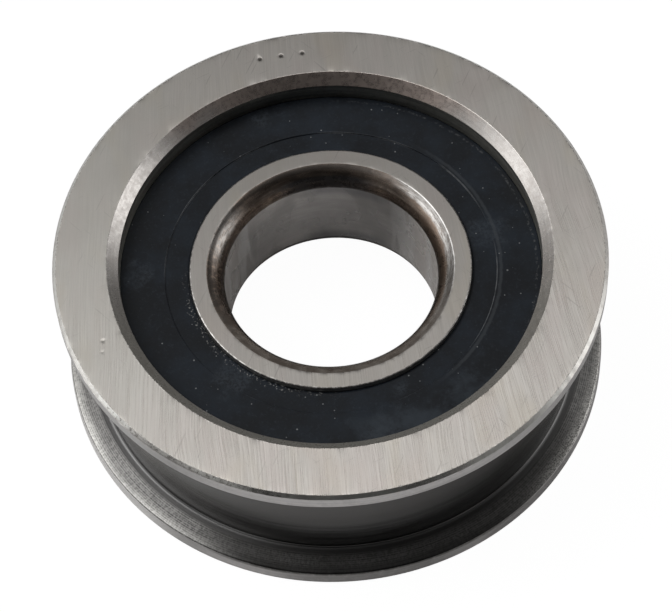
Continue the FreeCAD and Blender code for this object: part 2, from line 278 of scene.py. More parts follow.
def ground_face(name, tone=1.0, calm=0.0, dots=(), pits=(), edges=()):
    """Surface-ground steel: long fine strokes nearly along Y, that fan out slightly, with broad soft bands. The far
    side is worn smoother. dots and pits: (x, y, radius) of round punch marks and of small shallow pits. edges: (radius,
    side, raggedness) of the circles where the face's border is chipped."""
    t = Tree(name)
    fan = t.math("ADD", 0.05, t.math("MULTIPLY", t.x, 0.0025))
    wander = t.math("MULTIPLY", t.math("SUBTRACT", t.noise(t.mm, 0.05, 1.0, 0.5), 0.5), 2.2)
    s = t.math("ADD", t.math("ADD", t.x, wander), t.math("MULTIPLY", t.y, fan))
    fine = t.noise(t.vec(t.math("MULTIPLY", s, 4.2), t.math("MULTIPLY", t.y, 0.055), 0.0), 1.0, 3.0, 0.62)
    hair = t.noise(t.vec(t.math("MULTIPLY", s, 9.5), t.math("MULTIPLY", t.y, 0.13), 3.0), 1.0, 2.0, 0.6)
    broad = t.noise(t.vec(t.math("MULTIPLY", s, 0.5), t.math("MULTIPLY", t.y, 0.03), 9.0), 1.0, 2.0, 0.5)
    cloud = t.noise(t.vec(t.math("MULTIPLY", t.x, 0.07), t.math("MULTIPLY", t.y, 0.07), 5.0), 1.0, 4.0, 0.6)
    stain = t.noise(t.vec(t.math("MULTIPLY", t.x, 0.11), t.math("MULTIPLY", t.y, 0.06), 15.0), 1.0, 2.0, 0.5)
    grit = t.noise(t.mm, 3.0, 3.0, 0.7)
    # strokes bite more on the near side than on the far side
    bite = t.math("MULTIPLY", t.span(t.y, 24.0, -20.0, 0.36, 1.0), 1.0 - calm)
    streak = t.math("ADD", t.math("MULTIPLY", fine, 0.42), t.math("ADD", t.math("MULTIPLY", hair, 0.44), t.math("MULTIPLY", broad, 0.14)))
    level = t.span(streak, 0.37, 0.63)
    level = t.lerp(t.math("MULTIPLY", bite, t.span(t.x, -24.0, -40.0, 1.0, 0.62)), 0.5, level)
    low, high = (0.545 * tone, 0.512 * tone, 0.474 * tone), (0.775 * tone, 0.738 * tone, 0.692 * tone)
    colour = t.mix(level, low, high)
    # single strokes that shine brighter
    bright = t.math("MULTIPLY", t.span(fine, 0.62, 0.74), bite)
    colour = t.mix(t.math("MULTIPLY", bright, 0.5), colour, (0.90 * tone, 0.87 * tone, 0.82 * tone))
    colour = t.mix(t.math("MULTIPLY", t.span(cloud, 0.42, 0.70), 0.35), colour, (0.53 * tone, 0.49 * tone, 0.445 * tone))
    colour = t.mix(t.math("MULTIPLY", t.span(stain, 0.52, 0.70), 0.4), colour, (0.66 * tone, 0.585 * tone, 0.53 * tone))
    colour = t.mix(t.math("MULTIPLY", t.span(grit, 0.57, 0.74), 0.16), colour, (0.36 * tone, 0.335 * tone, 0.31 * tone))
    # scratches that cross the strokes, in three directions, broken into short pieces
    marks = None
    for k, (lean, seed, low_cut) in enumerate(((-0.47, 21.0, 0.715), (0.9, 33.0, 0.725), (-2.2, 47.0, 0.73))):
        across = t.math("ADD", t.x, t.math("MULTIPLY", t.y, lean))
        along = t.math("SUBTRACT", t.y, t.math("MULTIPLY", t.x, lean))
        one = t.noise(t.vec(t.math("MULTIPLY", across, 2.3), t.math("MULTIPLY", along, 0.10), seed), 1.0, 1.0, 0.4)
        one = t.span(one, low_cut, low_cut + 0.03)
        marks = one if marks is None else t.math("MAXIMUM", marks, one)
    colour = t.mix(t.math("MULTIPLY", marks, 0.34), colour, (0.30 * tone, 0.28 * tone, 0.26 * tone))
    # faint yellowish and pinkish tarnish
    tint = t.noise(t.vec(t.math("MULTIPLY", t.x, 0.16), t.math("MULTIPLY", t.y, 0.05), 27.0), 1.0, 2.0, 0.5)
    colour = t.mix(t.math("MULTIPLY", t.span(tint, 0.50, 0.66), 0.22), colour, (0.70 * tone, 0.63 * tone, 0.50 * tone))
    colour = t.mix(t.math("MULTIPLY", t.span(tint, 0.50, 0.34), 0.18), colour, (0.70 * tone, 0.60 * tone, 0.58 * tone))
    cool = t.math("MULTIPLY", t.span(t.x, -12.0, -36.0), 0.30)
    colour = t.mix(cool, colour, (0.645 * tone, 0.642 * tone, 0.592 * tone))
    rough = t.math("ADD", 0.25, t.math("MULTIPLY", level, 0.10))
    height = t.math("MULTIPLY", t.math("ADD", t.math("MULTIPLY", fine, 0.55), t.math("MULTIPLY", hair, 0.45)), bite)
    height = t.math("SUBTRACT", height, t.math("MULTIPLY", marks, 0.35))
    normal = t.bump(height, 0.0000048, strength=0.9)
    # chipped borders: small dark bites with a few bright burrs
    if edges:
        r = t.radius()
        flat = t.vmath("NORMALIZE", t.vec(t.x, t.y, 0.0))
        for radius, side, wild in edges:
            ragged = t.noise(t.vmath("SCALE", flat, scale=radius * 1.6), 1.0, 4.0, 0.75)
            reach = t.math("ADD", t.math("MULTIPLY", t.math("SUBTRACT", r, radius), side), t.math("MULTIPLY", t.math("SUBTRACT", ragged, 0.5), wild))
            bite_in = t.span(reach, -0.03, 0.04)
            burr = t.math("MULTIPLY", t.span(reach, -0.12, -0.04), t.span(grit, 0.52, 0.60))
            colour = t.mix(t.math("MULTIPLY", bite_in, 0.55), colour, (0.24 * tone, 0.22 * tone, 0.20 * tone))
            colour = t.mix(t.math("MULTIPLY", burr, 0.5), colour, (0.92, 0.90, 0.86))
            normal = t.bump(t.math("MULTIPLY", t.math("ADD", bite_in, t.math("MULTIPLY", burr, -0.6)), -1.0), 0.00003, normal, strength=0.7)
    if dots:
        pit = None
        for dx, dy, size in dots:
            far = t.vmath("DISTANCE", t.vec(t.x, t.y, 0.0), (dx, dy, 0.0))
            one = t.span(far, size * 0.6, size, 1.0, 0.0)
            pit = one if pit is None else t.math("MAXIMUM", pit, one)
        pit = t.math("MULTIPLY", pit, t.math("GREATER_THAN", t.z, 0.0))
        colour = t.mix(t.math("MULTIPLY", pit, 0.88), colour, (0.085 * tone, 0.078 * tone, 0.07 * tone))
        rough = t.math("ADD", rough, t.math("MULTIPLY", pit, 0.15))
    if pits:
        pit = None
        for dx, dy, size in pits:
            far = t.vmath("DISTANCE", t.vec(t.x, t.y, 0.0), (dx, dy, 0.0))
            one = t.span(far, size * 0.4, size, 1.0, 0.0)
            pit = one if pit is None else t.math("MAXIMUM", pit, one)
        pit = t.math("MULTIPLY", pit, t.math("GREATER_THAN", t.z, 0.0))
        # the pits are lightened: a painted highlight inside them
        colour = t.mix(t.math("MULTIPLY", pit, 0.4), colour, (0.86, 0.83, 0.76))
    t.principled(Base_Color=colour, Metallic=1.0, Roughness=rough, Anisotropic=0.7, Anisotropic_Rotation=0.25, Normal=normal, Tangent=along_y(t))
    return t.mat


def turned_steel(name, base, pitch, rough=(0.25, 0.4), depth=0.000006, across="r", mottle=0.0, dark=(0.1, 0.08, 0.07), cross=0.0, contrast=1.0, feed=None, film=None):
    """Turned or cylindrically ground steel: marks run round the axis. feed: (pitch, depth in mm) of the tool's grooves.
    film: a function of the tree that gives (amount, colour) of a colour laid over the metal: grease on the inner ring's
    edge, painted shade and painted highlight on the other pieces."""
    t = Tree(name)
    along = t.radius() if across == "r" else t.z if across == "z" else t.math("ADD", t.radius(), t.z)
    fine = t.noise(t.round_vector(2.5, 1.0 / pitch, along), 1.0, 3.0, 0.6)
    broad = t.noise(t.round_vector(1.2, 0.25 / pitch, along), 1.0, 2.0, 0.5)
    grain = t.noise(t.mm, 2.4, 3.0, 0.6)
    level = t.span(t.math("ADD", t.math("MULTIPLY", fine, 0.7), t.math("MULTIPLY", broad, 0.3)), 0.34, 0.66)
    low = tuple(c * (1 - 0.22 * contrast) for c in base)
    high = tuple(min(1.0, c * (1 + 0.18 * contrast)) for c in base)
    colour = t.mix(level, low, high)
    r = t.lerp(level, rough[0], rough[1])
    if mottle:
        spots = t.noise(t.mm, 0.7, 5.0, 0.7)
        amount = t.math("MULTIPLY", t.span(spots, 0.44, 0.68), mottle)
        colour = t.mix(amount, colour, dark)
        r = t.math("ADD", r, t.math("MULTIPLY", amount, 0.15))
    height = t.math("ADD", t.math("MULTIPLY", fine, 0.8), t.math("MULTIPLY", grain, 0.2 + cross))
    normal = t.bump(height, depth)
    if feed:
        wave = t.math("SINE", t.math("MULTIPLY", along, 2 * math.pi / feed[0]))
        normal = t.bump(wave, feed[1] * MM / 2, normal)
    if film:
        amount, dirt = film(t)
        colour = t.mix(amount, colour, dirt)
    t.principled(Base_Color=colour, Metallic=1.0, Roughness=r, Anisotropic=0.55, Anisotropic_Rotation=0.25, Normal=normal, Tangent=around_z(t))
    return t.mat


def towards(t, degrees):
    """How nearly a point lies in this direction from the axis: 1 in that direction, 0 at right angles to it."""
    a = math.radians(degrees)
    return t.vmath("DOT_PRODUCT", t.vmath("NORMALIZE", t.vec(t.x, t.y, 0.0)), (math.cos(a), math.sin(a), 0.0))


def rim_painted_shade_and_highlight(t):
    """Painted shade in patches on the lower flange's rim in front and on the right, over its corner too, and a painted
    highlight on the left.
    """
    patch = t.noise(t.mm, 0.9, 4.0, 0.7)
    low = t.span(t.z, -8.0, -10.0)
    front = t.math("MULTIPLY", t.span(towards(t, -86), 0.93, 0.985), 0.42)
    aside = t.math("MULTIPLY", t.span(towards(t, -46), 0.955, 0.99), 0.28)
    lip = t.math("MULTIPLY", t.span(t.z, -12.3, -11.75), t.math("MULTIPLY", t.span(towards(t, -84), 0.70, 0.92), 0.85))
    dark = t.math("MAXIMUM", t.math("ADD", front, aside), lip)
    dark = t.math("MULTIPLY", t.math("MULTIPLY", dark, low), t.span(patch, 0.25, 0.55, 0.6, 1.0))
    # painted highlight: the rim is made near-white on the left
    painted_left_highlight = t.math("MULTIPLY", t.span(t.math("MULTIPLY", t.x, -1.0), 20.0, 34.0), t.math("MAXIMUM", low, 0.75))
    return t.math("MAXIMUM", dark, painted_left_highlight), t.mix(painted_left_highlight, (0.12, 0.115, 0.108), (0.97, 0.95, 0.93))


def track_painted_shade(t):
    """Painted shade: a brownish darkening on the upper part of the track in front and on the right, for the upper
    flange's shadow, and a dark lower corner there that covers the fillet's reflection of the floor.
    """
    upper = t.math("MULTIPLY", t.math("MULTIPLY", t.span(t.z, -5.5, -1.0), 0.55), t.span(towards(t, -58), 0.25, 0.80))
    root = t.math("MULTIPLY", t.span(t.z, -9.7, -10.1), t.span(towards(t, -76), 0.78, 0.94, 0.0, 0.80))
    return t.math("MAXIMUM", upper, root), t.mix(root, (0.085, 0.077, 0.073), (0.045, 0.043, 0.042))


def edge_dents_and_painted_shade(t):
    """The edge break stays bright on the left; painted shade dulls it on the right and darkens it in front, where it
    mirrors the dark front, and its lower part is darker on the left; dents darken it on the front left.
    """
    right_shade = t.math("MULTIPLY", t.span(t.x, 10.0, 40.0), 0.40)
    front = t.math("MULTIPLY", t.span(towards(t, -80), 0.80, 0.96), 0.45)
    dent = t.noise(t.mm, 1.3, 4.0, 0.72)
    dents = t.math("MULTIPLY", t.span(dent, 0.50, 0.60), t.span(towards(t, -122), 0.84, 0.95, 0.0, 0.75))
    lower = t.math("MULTIPLY", t.span(t.z, 14.42, 14.22), t.span(towards(t, 200), 0.55, 0.85, 0.0, 0.5))
    amount = t.math("MAXIMUM", t.math("MAXIMUM", right_shade, front), t.math("MAXIMUM", dents, lower))
    return amount, t.mix(t.math("MAXIMUM", t.span(t.y, -26.0, -40.0), dents), (0.55, 0.52, 0.49), (0.21, 0.195, 0.18))


def inner_edge_film(t):
    """Dark grease broken into flecks lies along the inner ring's outer edge."""
    fleck = t.noise(t.mm, 1.5, 4.0, 0.75)
    return t.span(fleck, 0.42, 0.54, 0.15, 0.80), (0.17, 0.16, 0.148)


def band_painted_shade(t):
    """The narrow band at the flange's root is painted dark in front: painted shade of the groove."""
    return t.span(towards(t, -80), 0.80, 0.96, 0.0, 0.62), (0.072, 0.070, 0.068)


def mouth_steel(name):
    """The turned chamfer of the seal recess: silvery with fine crystalline mottling, and brownish on the far side."""
    t = Tree(name)
    r = t.radius()
    fine = t.noise(t.round_vector(2.5, 4.5, r), 1.0, 3.0, 0.6)
    spots = t.noise(t.mm, 1.15, 4.0, 0.72)
    flake = t.cells(t.mm, 1.5)
    shade = t.node("ShaderNodeSeparateXYZ", Vector=flake.outputs["Color"]).outputs[0]
    colour = t.mix(t.span(fine, 0.36, 0.64), (0.56, 0.53, 0.505), (0.66, 0.63, 0.60))
    cloud = t.noise(t.mm, 0.12, 2.0, 0.5)
    far = t.span(t.math("ADD", t.y, t.math("MULTIPLY", t.math("SUBTRACT", cloud, 0.5), 12.0)), 23.0, 30.0)
    wild = t.lerp(far, 0.42, 0.10)
    colour = t.mix(t.math("MULTIPLY", t.span(spots, 0.46, 0.68), wild), colour, (0.43, 0.385, 0.355))
    colour = t.mix(t.math("MULTIPLY", t.span(spots, 0.50, 0.34), wild), colour, (0.78, 0.75, 0.72))
    colour = t.mix(t.math("MULTIPLY", shade, 0.10), colour, (0.42, 0.39, 0.365))
    colour = t.mix(t.math("MULTIPLY", far, 0.75), colour, (0.62, 0.50, 0.44))
    colour = t.mix(t.math("MULTIPLY", t.span(t.x, -20.0, -30.0), 0.30), colour, (0.42, 0.395, 0.375))
    # the near side is darker and olive, and less metallic
    film = t.math("MULTIPLY", t.span(t.y, 1.0, -14.0), 0.75)
    colour = t.mix(film, colour, t.mix(t.span(spots, 0.35, 0.65), (0.175, 0.17, 0.145), (0.130, 0.125, 0.105)))
    height = t.math("ADD", t.math("MULTIPLY", fine, 0.6), t.math("MULTIPLY", spots, 0.5))
    normal = t.bump(height, 0.000009)
    rough = t.lerp(t.span(spots, 0.35, 0.65), 0.25, 0.34)
    t.principled(Base_Color=colour, Metallic=t.math("SUBTRACT", 1.0, film), Roughness=rough, Anisotropic=0.5, Anisotropic_Rotation=0.25, Normal=normal, Tangent=around_z(t))
    return t.mat


def shoulder_steel(name):
    """The flange's inner side: painted dark for the groove's shade, with the tool's fine grooves crossed by short
    radial marks, dust towards the rim on the right, painted shade at the root, in front and on the near side, and a
    painted highlight on the left.
    """
    t = Tree(name)
    r = t.radius()
    fine = t.noise(t.round_vector(3.0, 4.0, r), 1.0, 3.0, 0.6)
    grain = t.noise(t.mm, 3.0, 3.0, 0.7)
    cloud = t.noise(t.mm, 0.09, 3.0, 0.6)
    wave = t.math("SINE", t.math("MULTIPLY", r, 2 * math.pi / 0.33))
    # the crossing marks run outwards, and shift a little from groove to groove
    flat = t.vmath("NORMALIZE", t.vec(t.x, t.y, 0.0))
    spun = t.node("ShaderNodeSeparateXYZ", Vector=t.vmath("SCALE", flat, scale=125.0))
    spoke = t.noise(t.vec(spun.outputs[0], spun.outputs[1], t.math("MULTIPLY", r, 1.6)), 1.0, 1.0, 0.5)
    hatch = t.math("ADD", t.math("MULTIPLY", t.span(wave, -0.8, 0.8), 0.5), t.math("MULTIPLY", t.span(spoke, 0.38, 0.62), 0.5))
    level = t.span(t.math("ADD", t.math("MULTIPLY", fine, 0.5), t.math("MULTIPLY", grain, 0.5)), 0.36, 0.64)
    # the steel's tone is kept dark: a painted shade of the groove
    colour = t.mix(level, (0.085, 0.083, 0.08), (0.285, 0.28, 0.272))
    colour = t.mix(t.math("MULTIPLY", t.span(hatch, 0.35, 0.75), 0.4), colour, (0.34, 0.33, 0.32))
    colour = t.mix(t.math("MULTIPLY", t.span(hatch, 0.5, 0.15), 0.45), colour, (0.06, 0.059, 0.057))
    colour = t.mix(t.math("MULTIPLY", t.span(cloud, 0.4, 0.65), 0.25), colour, (0.10, 0.097, 0.094))
    # painted shade: darker near the root of the flange
    inner = t.span(r, 42.15, 41.75)
    colour = t.mix(t.math("MULTIPLY", inner, 0.6), colour, (0.09, 0.088, 0.086))
    speckle = t.noise(t.mm, 4.2, 3.0, 0.75)
    ragged = t.math("ADD", r, t.math("MULTIPLY", t.math("SUBTRACT", cloud, 0.5), 2.2))
    dusty = t.math("MULTIPLY", t.span(ragged, 42.7, 45.0), t.span(speckle, 0.38, 0.62))
    # painted shade: the near side is darker
    near_shade = t.math("ADD", t.math("MULTIPLY", t.y, -1.0), t.math("ADD", t.math("MULTIPLY", t.x, 0.25), t.math("MULTIPLY", t.math("SUBTRACT", cloud, 0.5), 14.0)))
    colour = t.mix(t.math("MULTIPLY", t.span(near_shade, 26.0, 37.0), 0.62), colour, (0.035, 0.034, 0.033))
    at_left = t.span(t.math("MULTIPLY", t.x, -1.0), 14.0, 30.0)
    at_right = t.span(t.x, 24.0, 41.0)
    colour = t.mix(t.math("MULTIPLY", dusty, t.math("MULTIPLY", at_right, 0.85)), colour, (0.66, 0.645, 0.61))
    # painted highlight: a lighter, speckled band near the rim on the left, where the left soft box lights it
    left_highlight = t.math("MULTIPLY", t.span(ragged, 43.1, 45.0), t.math("MULTIPLY", at_left, t.math("MULTIPLY", t.span(speckle, 0.30, 0.55, 0.45, 0.95), t.span(hatch, 0.15, 0.6, 0.45, 1.0))))
    colour = t.mix(left_highlight, colour, (0.56, 0.55, 0.525))
    # painted shade: darker in front, near the rim
    front_shade = t.math("MULTIPLY", t.span(r, 43.2, 44.3), t.span(towards(t, -86), 0.72, 0.95))
    colour = t.mix(t.math("MULTIPLY", front_shade, 0.65), colour, (0.03, 0.029, 0.028))
    height = t.math("ADD", t.math("MULTIPLY", grain, 0.5), t.math("MULTIPLY", spoke, 0.5))
    normal = t.bump(height, 0.000012)
    normal = t.bump(wave, 0.0000035, normal)
    rough = t.lerp(level, 0.32, 0.46)
    t.principled(Base_Color=colour, Metallic=1.0, Roughness=rough, Anisotropic=0.4, Anisotropic_Rotation=0.25, Normal=normal, Tangent=around_z(t))
    return t.mat


def corner_scale(name):
    """The bore's corner rounding keeps its glossy brown heat scale, with grey metal mixed in that is partly a painted
    highlight: on the left where the soft box's highlight falls, and at the right next to the face.
    """
    t = Tree(name)
    up = t.math("ABSOLUTE", t.z)
    waver = t.noise(t.round_vector(9.0, 0.6, t.z), 1.0, 3.0, 0.6)
    streak = t.noise(t.round_vector(4.0, 3.2, t.z), 1.0, 3.0, 0.6)
    blot = t.noise(t.mm, 0.5, 4.0, 0.6)
    speck = t.noise(t.mm, 2.6, 3.0, 0.7)
    high_up = t.span(t.math("ADD", up, t.math("MULTIPLY", t.math("SUBTRACT", waver, 0.5), 0.5)), 9.60, 9.98)
    right = t.span(t.x, 10.0, 15.0)
    left = t.math("MULTIPLY", t.span(t.math("MULTIPLY", t.x, -1.0), 13.0, 16.5), t.span(t.y, 1.0, 6.5))
    # the grey metal is partly a painted highlight, placed where the light catches the corner on the left and at the
    # right
    bare_and_highlight = t.math("ADD", t.math("MULTIPLY", high_up, right), t.math("MULTIPLY", left, t.math("MULTIPLY", t.span(up, 8.5, 9.2), 0.62)), clamp=True)
    brown = t.mix(t.span(streak, 0.35, 0.65), (0.115, 0.088, 0.071), (0.255, 0.203, 0.165))
    brown = t.mix(t.math("MULTIPLY", t.span(blot, 0.42, 0.64), 0.6), brown, (0.074, 0.054, 0.042))
    brown = t.mix(t.math("MULTIPLY", t.span(speck, 0.60, 0.72), 0.30), brown, (0.45, 0.40, 0.35))
    # towards the right end of the diameter the brown is paler
    aside = t.span(t.x, 12.0, 17.5)
    brown = t.mix(t.math("MULTIPLY", aside, 0.42), brown, (0.345, 0.25, 0.185))
    fleck = t.noise(t.round_vector(26.0, 1.6, t.z), 1.0, 3.0, 0.7)
    rust = t.math("MULTIPLY", t.span(t.math("MULTIPLY", t.x, -1.0), 11.0, 15.5), t.span(fleck, 0.52, 0.62))
    brown = t.mix(t.math("MULTIPLY", rust, 0.6), brown, (0.42, 0.31, 0.24))
    # painted shade: the upper part is darker near the middle of the diameter, at the back and in front
    corner_middle_shade = t.math("MULTIPLY", t.span(t.math("ABSOLUTE", t.x), 11.0, 7.0), t.span(up, 9.7, 10.2, 0.0, 0.6))
    brown = t.mix(corner_middle_shade, brown, (0.062, 0.047, 0.038))
    brown = t.mix(t.math("MULTIPLY", t.span(t.math("ABSOLUTE", t.x), 9.0, 5.0), t.span(up, 9.7, 9.2, 0.0, 0.7)), brown, (0.108, 0.108, 0.116))
    rub = t.noise(t.round_vector(11.0, 8.0, t.z), 1.0, 3.0, 0.7)
    grey = t.mix(t.span(rub, 0.38, 0.56), (0.17, 0.15, 0.134), (0.425, 0.412, 0.395))
    colour = t.mix(bare_and_highlight, brown, grey)
    # just under the face it is darker again, and on the right its last tenth of a millimetre carries a painted
    # highlight line
    under = t.math("MULTIPLY", t.span(up, 10.04, 10.22), t.span(up, 10.475, 10.43))
    colour = t.mix(t.math("MULTIPLY", under, 0.56), colour, (0.045, 0.040, 0.036))
    edge_highlight = t.math("MULTIPLY", t.span(up, 10.43, 10.475), right)
    colour = t.mix(t.math("MULTIPLY", edge_highlight, 0.8), colour, (0.95, 0.93, 0.90))
    rusty = t.math("MULTIPLY", t.span(t.y, 1.0, -12.0), t.span(up, 8.8, 9.8, 0.0, 0.8))
    colour = t.mix(rusty, colour, t.mix(t.span(blot, 0.38, 0.62), (0.225, 0.20, 0.175), (0.13, 0.108, 0.09)))
    rough = t.lerp(t.span(blot, 0.35, 0.65), 0.20, 0.34)
    normal = t.bump(t.math("ADD", t.math("MULTIPLY", streak, 0.7), t.math("MULTIPLY", blot, 0.3)), 0.000008)
    t.principled(Base_Color=colour, Metallic=t.math("SUBTRACT", 1.0, rusty), Roughness=rough, Anisotropic=0.4, Anisotropic_Rotation=0.25, Normal=normal, Tangent=around_z(t),
                 Coat_Weight=0.35, Coat_Roughness=0.16, Coat_IOR=1.7)
    return t.mat


def bore_steel(name):
    """The ground bore: smooth, with soft random light and dark patches, and painted light where it mirrors the lit and
    shaded floor through the bore: a paler band under the corner, lighter sides with soft upright streaks, and a darker
    middle.
    """
    t = Tree(name)
    fine = t.noise(t.round_vector(3.0, 1.6, t.z), 1.0, 3.0, 0.6)
    cloud = t.noise(t.round_vector(2.2, 0.10, t.z), 1.0, 3.0, 0.55)
    colour = t.mix(t.span(fine, 0.3, 0.7), (0.495, 0.47, 0.455), (0.565, 0.54, 0.523))
    colour = t.mix(t.math("MULTIPLY", t.span(cloud, 0.35, 0.62), 0.55), colour, (0.36, 0.345, 0.335))
    # painted light: a paler band under the corner
    band = t.math("MULTIPLY", t.span(t.math("ABSOLUTE", t.z), 3.2, 6.2), t.span(cloud, 0.62, 0.40))
    colour = t.mix(t.math("MULTIPLY", band, 0.5), colour, (0.76, 0.72, 0.69))
    # painted shade: the middle of the bore, at the back and in front, is darker, and darker still halfway down
    colour = t.mix(t.span(t.math("ABSOLUTE", t.math("SUBTRACT", t.x, 3.0)), 11.0, 4.0, 0.0, 0.30), colour, (0.34, 0.33, 0.325))
    bore_middle_shade = t.math("MULTIPLY", t.span(t.math("ABSOLUTE", t.math("SUBTRACT", t.x, 3.5)), 9.0, 4.0), t.span(t.math("ABSOLUTE", t.z), 4.6, 6.6))
    colour = t.mix(t.math("MULTIPLY", bore_middle_shade, 0.55), colour, (0.215, 0.215, 0.228))
    # painted light: the sides are paler
    sides = t.span(t.math("ABSOLUTE", t.x), 12.0, 16.0)
    colour = t.mix(t.math("MULTIPLY", sides, 0.6), colour, (0.84, 0.79, 0.75))
    # a pale, less metallic layer where the wall faces sideways, stronger on the right, is painted light too
    film = t.math("MULTIPLY", t.span(t.x, 11.5, 15.5), 0.68)
    film = t.math("ADD", film, t.math("MULTIPLY", t.span(t.math("MULTIPLY", t.x, -1.0), 14.0, 16.4), 0.50))
    # painted highlights: soft upright light streaks on the sides
    upright = t.noise(t.round_vector(7.5, 0.05, t.z), 1.0, 2.0, 0.5)
    upright = t.math("MULTIPLY", t.span(t.math("ABSOLUTE", t.x), 9.0, 14.0), t.span(upright, 0.48, 0.60))
    colour = t.mix(t.math("MULTIPLY", upright, 0.7), colour, (0.93, 0.915, 0.90))
    colour = t.mix(t.math("MULTIPLY", film, 0.6), colour, (0.62, 0.575, 0.54))
    normal = t.bump(fine, 0.0000012)
    t.principled(Base_Color=colour, Metallic=t.math("SUBTRACT", 1.0, film), Roughness=t.lerp(t.span(cloud, 0.3, 0.7), 0.22, 0.34), Anisotropic=0.5, Anisotropic_Rotation=0.25, Normal=normal, Tangent=around_z(t))
    return t.mat


def rubber(name):
    """Nitrile rubber: blue-black, with cloudy bloom, faint moulding marks, pale specks and dust caught in the step line."""
    t = Tree(name)
    r = t.radius()
    cloud = t.noise(t.mm, 0.13, 5.0, 0.62)
    fine = t.noise(t.mm, 2.0, 4.0, 0.65)
    colour = t.mix(t.span(cloud, 0.34, 0.70), (0.0030, 0.0048, 0.0080), (0.0125, 0.0185, 0.0275))
    colour = t.mix(t.math("MULTIPLY", t.span(fine, 0.52, 0.76), 0.45), colour, (0.030, 0.038, 0.050))
    # bloom: a few paler blue-grey patches with soft broken edges
    patch = t.noise(t.mm, 0.085, 3.0, 0.55)
    patch = t.math("MULTIPLY", t.span(patch, 0.60, 0.70), t.span(fine, 0.30, 0.62))
    colour = t.mix(t.math("MULTIPLY", patch, 0.5), colour, (0.045, 0.056, 0.070))
    haze = t.math("MULTIPLY", t.span(towards(t, -62), 0.86, 0.97), t.math("MULTIPLY", t.span(cloud, 0.38, 0.60), t.span(r, 28.0, 30.0)))
    colour = t.mix(t.math("MULTIPLY", haze, 0.65), colour, (0.038, 0.048, 0.060))
    # pale specks, close together in a few places and near the inner ring
    specks = t.cells(t.mm, 1.15)
    chance = t.node("ShaderNodeSeparateXYZ", Vector=specks.outputs["Color"])
    size = t.math("ADD", 0.05, t.math("MULTIPLY", chance.outputs[1], 0.12))
    dots = t.span(t.math("SUBTRACT", specks.outputs["Distance"], size), -0.02, 0.03, 1.0, 0.0)
    near = t.math("MULTIPLY", t.span(r, 26.0, 23.8), t.span(t.vmath("DOT_PRODUCT", t.vmath("NORMALIZE", t.vec(t.x, t.y, 0.0)), (-0.74, -0.67, 0.0)), 0.72, 0.95))
    need = t.math("SUBTRACT", t.math("SUBTRACT", 0.93, t.math("MULTIPLY", near, 0.55)), t.math("MULTIPLY", t.span(t.noise(t.mm, 0.07, 2.0, 0.5), 0.55, 0.65), 0.22))
    keep = t.math("MULTIPLY", dots, t.math("GREATER_THAN", chance.outputs[0], need))
    colour = t.mix(t.math("MULTIPLY", keep, 0.6), colour, (0.36, 0.37, 0.38))
    # crumbs of dried grease against the inner ring, at the left and in front
    crumb = t.noise(t.mm, 2.6, 2.0, 0.65)
    crowd = t.noise(t.mm, 0.42, 2.0, 0.6)
    reach = t.math("ADD", r, t.math("MULTIPLY", t.math("SUBTRACT", crowd, 0.5), 2.6))
    crumbs = t.math("MULTIPLY", t.span(crumb, 0.60, 0.66), t.math("MULTIPLY", t.span(reach, 24.5, 23.6), t.span(towards(t, 224), 0.62, 0.90)))
    colour = t.mix(t.math("MULTIPLY", crumbs, 0.85), colour, (0.36, 0.355, 0.34))
    # dust along the step between the lip zone and the face
    flat = t.vmath("NORMALIZE", t.vec(t.x, t.y, 0.0))
    broken = t.noise(t.vmath("SCALE", flat, scale=22.0), 1.0, 4.0, 0.7)
    wide = t.noise(t.vmath("SCALE", flat, scale=1.3), 1.0, 1.0, 0.5)
    line = t.span(t.math("ABSOLUTE", t.math("SUBTRACT", r, 27.12)), 0.05, 0.13, 1.0, 0.0)
    dust = t.math("MULTIPLY", line, t.math("MULTIPLY", t.span(broken, 0.30, 0.60, 0.35, 1.0), t.span(wide, 0.50, 0.62)))
    colour = t.mix(t.math("MULTIPLY", dust, 0.5), colour, (0.22, 0.23, 0.24))
    # a worn, slightly paler ring lies just outside the step on the right
    worn = t.span(t.math("ABSOLUTE", t.math("SUBTRACT", t.math("ADD", r, t.math("MULTIPLY", t.math("SUBTRACT", broken, 0.5), 0.5)), 27.75)), 0.10, 0.42, 1.0, 0.0)
    worn = t.math("MULTIPLY", worn, t.span(t.x, 14.0, 22.0))
    colour = t.mix(t.math("MULTIPLY", worn, 0.35), colour, (0.075, 0.082, 0.09))
    snake = t.math("ADD", r, t.math("MULTIPLY", t.math("SUBTRACT", t.noise(t.vmath("SCALE", flat, scale=9.0), 1.0, 2.0, 0.6), 0.5), 0.9))
    outer = t.span(t.math("ABSOLUTE", t.math("SUBTRACT", snake, 33.6)), 0.05, 0.30, 1.0, 0.0)
    where = t.span(t.vmath("DOT_PRODUCT", flat, (0.86, 0.51, 0.0)), 0.45, 0.80)
    dust2 = t.math("MULTIPLY", outer, t.math("MULTIPLY", t.span(crumb, 0.50, 0.60), where))
    colour = t.mix(t.math("MULTIPLY", dust2, 0.35), colour, (0.20, 0.205, 0.21))
    rough = t.lerp(t.span(cloud, 0.3, 0.7), 0.46, 0.62)
    height = t.math("ADD", t.math("MULTIPLY", fine, 0.7), t.math("MULTIPLY", keep, 0.8))
    normal = t.bump(height, 0.00003, strength=0.5)
    t.principled(Base_Color=colour, Metallic=0.0, Roughness=rough, Specular_IOR_Level=0.30, Normal=normal, IOR=1.5)
    return t.mat


PUNCHED = [(-9.6, 39.7, 0.44), (-6.0, 40.1, 0.44), (-2.4, 40.4, 0.44)]
PITS = [(-36.9, -13.9, 0.40), (-37.0, -16.0, 0.26)]
FACE = ground_face("outer_face_ground", dots=PUNCHED, pits=PITS, edges=[(44.40, 1.0, 1.0), (36.22, -1.0, 0.45)])
INNER_FACE = ground_face("inner_face_ground", 0.72, 0.45)
